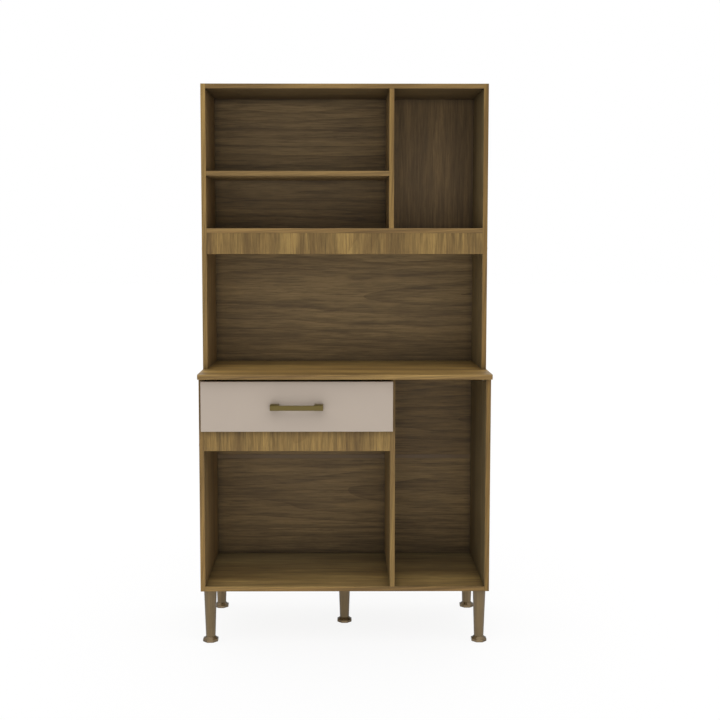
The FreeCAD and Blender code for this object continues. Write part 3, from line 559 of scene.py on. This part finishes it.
# each sheet's tint holds painted light and shade, and the ramps paint shade towards the floor, the worktop
# and the top
backSheets = {
    "base_back_lower": {
        "seed": 0.8,
        "across": 0.05,
        "tint": tinted(1.07, 1.05, 1.02),
        "paintedShading": {
            "axis": "Z",
            "clear": floorTop + 0.17,
            "full": floorTop,
            "tint": tinted(0.67, 0.68, 0.73),
        },
    },
    "base_back_upper": {"seed": 1.6, "across": -0.04, "tint": tinted(1.07, 1.04, 1.0)},
    "hutch_back_lower": {
        "seed": 0.6,
        "across": 0.02,
        "along": 0.1,
        "paintedShading": {
            "axis": "Z",
            "clear": worktopTop + 0.17,
            "full": worktopTop,
            "tint": tinted(0.79, 0.78, 0.8),
        },
    },
    "hutch_back_left": {
        "seed": 2.4,
        "across": -0.06,
        "tint": tinted(0.97, 0.98, 1.04),
        "paintedShading": {
            "axis": "Z",
            "clear": topUnder - 0.16,
            "full": topUnder,
            "tint": tinted(0.84, 0.83, 0.83),
        },
    },
    "hutch_back_right": {
        **upright,
        "seed": 3.9,
        "across": 0.05,
        "figureDepth": 0.35,
        "fleckDepth": 0.32,
        "fibreDepth": 0.28,
        "tint": tinted(0.75, 0.72, 0.73),
    },
}
for name, look in backSheets.items():
    dress(oakMaterial(name, {**sheetPrint, "reverse": fibreboard, **look}), name)

# drawer box in the boards' print, its bottom in the sheets' print
drawerBoards = {
    "drawer_left_side": {**oak, "grain": "y", "seed": 0.4},
    "drawer_right_side": {**oak, "grain": "y", "seed": 5.9},
    "drawer_back": {**oak, "seed": 6.9},
    "drawer_bottom": {**sheetPrint, "seed": 7.8},
}
for name, look in drawerBoards.items():
    dress(oakMaterial(name, look), name)

# paler dowels, and caps in the boards' print
dowelPrint = {
    **oak,
    "light": srgb(205, 172, 122),
    "mid": srgb(192, 155, 104),
    "dark": srgb(160, 122, 76),
    "rings": 60.0,
}
dress(oakMaterial("dowels", dowelPrint), "dowels")
dress(oakMaterial("screw_caps", {**oak, **upright, "seed": 9.0}), "screw_caps")

# matt grey-beige paint of the drawer front
paintLook = {
    "colour": srgb(181, 167, 153),
    "cloudScale": 5.0,
    "cloudDepth": 0.012,
    "skinScale": 1400.0,
    "speck": srgb(170, 157, 140),
    "speckDepth": 0.06,
    "roughness": 0.55,
    "metallic": 0.0,
    "specular": 0.4,
    "bump": 0.06,
}
dress(mottledMaterial("paint_drawer_front", paintLook), "drawer_front")

# satin olive brass of the handle
handleLook = {
    "colour": srgb(96, 81, 26),
    "cloudScale": 30.0,
    "cloudDepth": 0.05,
    "skinScale": 2500.0,
    "speck": srgb(86, 72, 22),
    "speckDepth": 0.25,
    "roughness": 0.42,
    "metallic": 0.35,
    "specular": 0.5,
    "bump": 0.12,
    "brushed": "x",
    "lines": 1800.0,
    "lineDepth": 0.06,
}
dress(mottledMaterial("satin_olive_brass", handleLook), "handle")

# bronze-brown legs and paler, glossier feet, both with painted shade at their rims
bronzeLook = {
    "cloudScale": 14.0,
    "cloudDepth": 0.06,
    "skinScale": 1600.0,
    "speck": srgb(92, 77, 54),
    "speckDepth": 0.3,
    "specular": 0.5,
    "bump": 0.08,
}
legLook = {
    **bronzeLook,
    "colour": srgb(116, 97, 65),
    "roughness": 0.38,
    "metallic": 0.25,
    "brushed": "z",
    "lines": 150.0,
    "lineDepth": 0.16,
    "rimFrom": 0.35,
    "rimTo": 0.9,
    "rimDepth": 0.7,
}
footLook = {
    **bronzeLook,
    "colour": srgb(138, 118, 88),
    "roughness": 0.16,
    "metallic": 0.6,
    "rimFrom": 0.05,
    "rimTo": 0.6,
    "rimDepth": 0.75,
}
footNames = [name for name in nodes if name.startswith("foot_")]
legNames = [name.replace("foot_", "leg_") for name in footNames]
dress(mottledMaterial("bronze_leg", legLook), *legNames)
dress(mottledMaterial("bronze_foot", footLook), *footNames)

# slides, rollers and the hidden hardware
steelLook = {
    "colour": srgb(196, 194, 186),
    "cloudScale": 40.0,
    "cloudDepth": 0.06,
    "skinScale": 2200.0,
    "speck": srgb(150, 146, 136),
    "speckDepth": 0.35,
    "roughness": 0.34,
    "metallic": 0.9,
    "specular": 0.5,
    "bump": 0.1,
}
slideLook = {
    **steelLook,
    "colour": srgb(222, 219, 210),
    "roughness": 0.42,
    "metallic": 0.0,
    "speckDepth": 0.12,
    "brushed": "y",
    "lines": 1800.0,
    "lineDepth": 0.03,
}
nylonLook = {
    **steelLook,
    "colour": srgb(232, 230, 222),
    "roughness": 0.5,
    "metallic": 0.0,
    "speckDepth": 0.1,
}
zincLook = {**steelLook, "colour": srgb(176, 174, 168), "roughness": 0.48}
stripLook = {**paintLook, "colour": srgb(120, 97, 66), "speck": srgb(98, 78, 52), "roughness": 0.48}
bracketLook = {**stripLook, "colour": srgb(108, 84, 50), "metallic": 0.2, "roughness": 0.4}
sides = ("left", "right")
slideNames = [part + side for part in ("slide_channel_", "slide_runner_") for side in sides]
rollerNames = [part + side for part in ("front_roller_", "rear_roller_") for side in sides]
steel = mottledMaterial("plated_steel", steelLook)
dress(steel, "front_roller_pins", "rear_roller_pins", "leg_studs", "drawer_cam_bolts")
dress(mottledMaterial("cast_zinc", zincLook), "leg_inserts", "drawer_cams")
dress(mottledMaterial("coated_slide", slideLook), *slideNames)
dress(mottledMaterial("white_nylon", nylonLook), *rollerNames)
dress(mottledMaterial("brown_bracket", bracketLook), "corner_brackets")
dress(mottledMaterial("brown_strip", stripLook), "back_joint_strips")
print("materials built:", len(bpy.data.materials))


# screws and nails: each CAD solid gives a place, a direction and its sizes

weldDistance = 1e-6
levelDigits = 6
neckSlack = 1.02


def solidPoints(node):
    # the corner points of each separate solid of a group node
    copy = bmesh.new()
    copy.from_mesh(node.data)
    bmesh.ops.remove_doubles(copy, verts=copy.verts, dist=weldDistance)
    reached = set()
    solids = []
    for first in copy.verts:
        if first in reached:
            continue
        reached.add(first)
        solid = [first]
        for vertex in solid:
            others = [edge.other_vert(vertex) for edge in vertex.link_edges]
            fresh = [other for other in others if other not in reached]
            reached.update(fresh)
            solid += fresh
        solids.append([node.matrix_world @ vertex.co for vertex in solid])
    copy.free()
    return solids


def radiiByLevel(points, start, aim):
    # how far each level of points lies from the start, with its least and greatest radius
    levels = {}
    for point in points:
        along = (point - start).dot(aim)
        radius = (point - start - aim * along).length
        levels.setdefault(round(along, levelDigits), []).append(radius)
    return [(along, min(radii), max(radii)) for along, radii in sorted(levels.items())]


def fastenerSpot(points):
    # head centre, direction and sizes of one fastener, whose head is its wider end
    low = Vector([min(point[i] for point in points) for i in range(3)])
    high = Vector([max(point[i] for point in points) for i in range(3)])
    axis = max(range(3), key=lambda i: high[i] - low[i])
    aim = Vector([1.0 if i == axis else 0.0 for i in range(3)])
    start = (low + high) / 2
    start[axis] = low[axis]
    levels = radiiByLevel(points, start, aim)
    if levels[0][2] < levels[-1][2]:
        start[axis] = high[axis]
        aim = -aim
        levels = radiiByLevel(points, start, aim)
    length, _, shankRadius = levels[-1]
    headHeight, _, neckRadius = next(level for level in levels if level[1] <= shankRadius * neckSlack)
    return {
        "head": start,
        "aim": aim,
        "length": length,
        "headRadius": levels[0][2],
        "headHeight": headHeight,
        "neckRadius": neckRadius,
        "shankRadius": shankRadius,
    }


# shares of the shank's radius for its point, and of the crown's radius for the cross recess
pointLengthShare = 2.5
pointRadiusShare = 0.15
recessReachShare = 1.3

fastenerSizes = (
    "Length", "Head Radius", "Head Height", "Neck Radius", "Shank Radius", "Crown", "Crown Radius",
    "Recess Width", "Recess Depth",
)
fastenerInputs = {
    "Spots": "Geometry",
    **dict.fromkeys(fastenerSizes, "Float"),
    "Sides": "Int",
    "Finish": "Material",
}


def joinSolids(tree, parts):
    solid = addNode(tree, "GeometryNodeMeshBoolean", operation="UNION", solver="EXACT")
    for part in parts:
        tree.links.new(part, solid.inputs["Mesh 2"])
    return solid.outputs["Mesh"]


def fastenerProfile(tree, given):
    # crown, neck, shank and point below the head's end face, which lies at zero
    def frustum(bottom, top, low, height):
        cone = {"Vertices": given["Sides"], "Radius Bottom": bottom, "Radius Top": top, "Depth": height}
        mesh = addNode(tree, "GeometryNodeMeshCone", cone).outputs["Mesh"]
        lift = addNode(tree, "ShaderNodeCombineXYZ", {"Z": low}).outputs[0]
        return addNode(tree, "GeometryNodeTransform", {"Geometry": mesh, "Translation": lift}).outputs[0]

    def negative(value):
        return calc(tree, "MULTIPLY", value, -1.0)

    head = given["Head Radius"]
    shank = given["Shank Radius"]
    crownHeight = calc(tree, "MULTIPLY", given["Head Height"], given["Crown"])
    neckHeight = calc(tree, "SUBTRACT", given["Head Height"], crownHeight)
    pointHeight = calc(tree, "MULTIPLY", shank, pointLengthShare)
    pointRadius = calc(tree, "MULTIPLY", shank, pointRadiusShare)
    underHead = calc(tree, "SUBTRACT", given["Length"], given["Head Height"])
    shankHeight = calc(tree, "SUBTRACT", underHead, pointHeight)
    shankLow = calc(tree, "SUBTRACT", pointHeight, given["Length"])
    return [
        frustum(head, given["Crown Radius"], negative(crownHeight), crownHeight),
        frustum(given["Neck Radius"], head, negative(given["Head Height"]), neckHeight),
        frustum(shank, shank, shankLow, shankHeight),
        frustum(pointRadius, shank, negative(given["Length"]), pointHeight),
    ]


def crossRecess(tree, given):
    # two crossed bars, half of their depth below the head's end face
    reach = calc(tree, "MULTIPLY", given["Crown Radius"], recessReachShare)
    deep = calc(tree, "MULTIPLY", given["Recess Depth"], 2.0)
    bars = []
    for long, short in (("X", "Y"), ("Y", "X")):
        sizes = {long: reach, short: given["Recess Width"], "Z": deep}
        size = addNode(tree, "ShaderNodeCombineXYZ", sizes).outputs[0]
        bars.append(addNode(tree, "GeometryNodeMeshCube", {"Size": size}).outputs["Mesh"])
    return bars


def makeFastenerTree():
    # one fastener, set on every spot with its head against the direction in the attribute aim
    tree = bpy.data.node_groups.new("fasteners", "GeometryNodeTree")
    for label, kind in fastenerInputs.items():
        tree.interface.new_socket(label, in_out="INPUT", socket_type="NodeSocket" + kind)
    tree.interface.new_socket("Fasteners", in_out="OUTPUT", socket_type="NodeSocketGeometry")
    given = addNode(tree, "NodeGroupInput").outputs
    made = addNode(tree, "NodeGroupOutput").inputs
    solid = joinSolids(tree, fastenerProfile(tree, given))
    recess = joinSolids(tree, crossRecess(tree, given))
    meshes = {"Mesh 1": solid, "Mesh 2": recess}
    cut = addNode(tree, "GeometryNodeMeshBoolean", meshes, operation="DIFFERENCE", solver="EXACT")
    named = addNode(tree, "GeometryNodeInputNamedAttribute", {"Name": "aim"}, data_type="FLOAT_VECTOR")
    outward = scaled(tree, named.outputs["Attribute"], -1.0)
    turn = addNode(tree, "FunctionNodeAlignRotationToVector", {"Vector": outward}, axis="Z").outputs[0]
    placed = {"Points": given["Spots"], "Instance": cut.outputs["Mesh"], "Rotation": turn}
    placed = addNode(tree, "GeometryNodeInstanceOnPoints", placed).outputs[0]
    real = addNode(tree, "GeometryNodeRealizeInstances", {"Geometry": placed}).outputs[0]
    finished = {"Geometry": real, "Material": given["Finish"]}
    finished = addNode(tree, "GeometryNodeSetMaterial", finished).outputs[0]
    tree.links.new(finished, made["Fasteners"])
    return tree


fastenerTree = makeFastenerTree()


def spotObject(name, spots):
    # a point at each head, with the fastener's direction
    mesh = bpy.data.meshes.new(name + "_spots")
    mesh.from_pydata([spot["head"] for spot in spots], [], [])
    aims = [share for spot in spots for share in spot["aim"]]
    mesh.attributes.new("aim", "FLOAT_VECTOR", "POINT").data.foreach_set("vector", aims)
    piece = bpy.data.objects.new(name, mesh)
    scene.collection.objects.link(piece)
    return piece


def growFasteners(name, node, look):
    spots = [fastenerSpot(points) for points in solidPoints(nodes[node])]
    sizes = spots[0]
    piece = spotObject(name, spots)
    values = {
        "Length": sizes["length"],
        "Head Radius": sizes["headRadius"],
        "Head Height": sizes["headHeight"],
        "Neck Radius": sizes["neckRadius"],
        "Shank Radius": sizes["shankRadius"],
        "Crown": look["crown"],
        "Crown Radius": sizes["headRadius"] * look["crownShare"],
        "Recess Width": sizes["headRadius"] * look["recessWidth"],
        "Recess Depth": sizes["headHeight"] * look["recessDepth"],
        "Sides": look["sides"],
        "Finish": look["finish"],
    }
    grow = piece.modifiers.new("grow", "NODES")
    grow.node_group = fastenerTree
    for item in fastenerTree.interface.items_tree:
        if item.in_out == "INPUT" and item.name in values:
            grow[item.identifier] = values[item.name]
    evaluated = piece.evaluated_get(bpy.context.evaluated_depsgraph_get())
    solidMesh = bpy.data.meshes.new_from_object(evaluated)
    piece.modifiers.clear()
    piece.data = solidMesh
    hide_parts(node)
    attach(piece, look["body"])
    print(name, len(spots), "placed,", len(solidMesh.polygons), "faces")


panHead = {
    "crown": 0.55,
    "crownShare": 0.74,
    "recessWidth": 0.26,
    "recessDepth": 0.7,
    "sides": 24,
    "finish": steel,
}
countersunk = {
    **panHead,
    "crown": 0.08,
    "crownShare": 0.96,
    "recessWidth": 0.22,
    "recessDepth": 0.6,
}
nailHead = {
    **panHead,
    "crown": 0.5,
    "crownShare": 0.8,
    "recessWidth": 0.12,
    "recessDepth": 0.15,
    "sides": 16,
}
growFasteners("boardScrews", "board_screws", {**countersunk, "body": "cabinet"})
growFasteners("bracketScrews", "bracket_screws", {**panHead, "body": "cabinet"})
growFasteners("channelScrews", "slide_channel_screws", {**panHead, "body": "cabinet"})
growFasteners("backNails", "back_nails", {**nailHead, "body": "cabinet"})
growFasteners("runnerScrews", "slide_runner_screws", {**panHead, "body": "drawer"})
growFasteners("drawerScrews", "drawer_screws", {**countersunk, "body": "drawer"})
growFasteners("handleScrews", "handle_screws", {**panHead, "body": "drawer"})


# stage: pale floor, soft light all round and a weak front light near the floor

stage = {
    "floorSize": 60.0,
    "floorColour": (0.9, 0.9, 0.9, 1.0),
    "floorRoughness": 0.9,
    "floorSpecular": 0.0,
    "floorGlow": 1.0,
    "floorGlowShare": 0.88,
    "skyStrength": 1.4,
    "hazeStrength": 0.3,
    "skyFrom": 0.28,
    "skyTo": 0.56,
    "shownStrength": 1.0,
    "keyPower": 7.0,
    "keySize": 1.6,
    "keyPlace": (0.0, -2.4, 0.12),
    "aim": (0.0, 0.0, 0.9),
}


def seenRay(tree):
    # one for the rays of the camera, straight or by a reflection, and zero for those that light the object
    path = addNode(tree, "ShaderNodeLightPath").outputs
    seen = calc(tree, "MAXIMUM", path["Is Camera Ray"], path["Is Glossy Ray"])
    return calc(tree, "MAXIMUM", seen, path["Is Transmission Ray"])


def floorMaterial():
    material, tree, shader, _ = newMaterial("pale_floor")
    shader.inputs["Base Color"].default_value = stage["floorColour"]
    shader.inputs["Roughness"].default_value = stage["floorRoughness"]
    shader.inputs["Specular IOR Level"].default_value = stage["floorSpecular"]
    output = next(node for node in tree.nodes if node.type == "OUTPUT_MATERIAL")
    glow = addNode(tree, "ShaderNodeEmission", {"Color": white, "Strength": stage["floorGlow"]})
    share = calc(tree, "MULTIPLY", seenRay(tree), stage["floorGlowShare"])
    shaders = {0: share, 1: shader.outputs["BSDF"], 2: glow.outputs["Emission"]}
    blend = addNode(tree, "ShaderNodeMixShader", shaders)
    tree.links.new(blend.outputs["Shader"], output.inputs["Surface"])
    return material


def studioWorld():
    # a sky that is brighter overhead for the light, and plain white where it is seen
    world = bpy.data.worlds.new("studio")
    world.use_nodes = True
    tree = world.node_tree
    background = next(node for node in tree.nodes if node.type == "BACKGROUND")
    toward = addNode(tree, "ShaderNodeTexCoord").outputs["Generated"]
    height = addNode(tree, "ShaderNodeSeparateXYZ", {0: toward}).outputs["Z"]
    sky = remap(tree, height, stage["skyFrom"], stage["skyTo"], stage["hazeStrength"], stage["skyStrength"])
    lacking = calc(tree, "SUBTRACT", stage["shownStrength"], sky)
    strength = calc(tree, "MULTIPLY_ADD", lacking, seenRay(tree), sky)
    background.inputs["Color"].default_value = white
    tree.links.new(strength, background.inputs["Strength"])
    return world


bpy.ops.mesh.primitive_plane_add(size=stage["floorSize"])
floor = bpy.context.object
floor.name = "floor"
floor.data.materials.append(floorMaterial())
scene.world = studioWorld()
key = bpy.data.objects.new("key", bpy.data.lights.new("key", "AREA"))
key.data.energy = stage["keyPower"]
key.data.size = stage["keySize"]
key.location = stage["keyPlace"]
key.rotation_euler = (Vector(stage["aim"]) - key.location).to_track_quat("-Z", "Y").to_euler()
scene.collection.objects.link(key)
print("stage and lights set")


# camera: above the worktop, almost square to the front and pitched a little down

cameraLook = {
    "place": (-0.0227, -3.5839, 1.2486),
    "level": 90.0,
    "pitch": 4.567,
    "yaw": -0.29,
    "sensor": 36.0,
    "lens": 55.88,
    "shift": (0.0234, -0.038),
}
camera = bpy.data.objects.new("camera", bpy.data.cameras.new("camera"))
camera.data.sensor_width = cameraLook["sensor"]
camera.data.lens = cameraLook["lens"]
camera.data.shift_x, camera.data.shift_y = cameraLook["shift"]
camera.location = cameraLook["place"]
tilt = math.radians(cameraLook["level"] - cameraLook["pitch"])
camera.rotation_euler = (tilt, 0.0, math.radians(cameraLook["yaw"]))
scene.collection.objects.link(camera)
scene.camera = camera
scene.view_settings.view_transform = "Standard"
print("camera set")
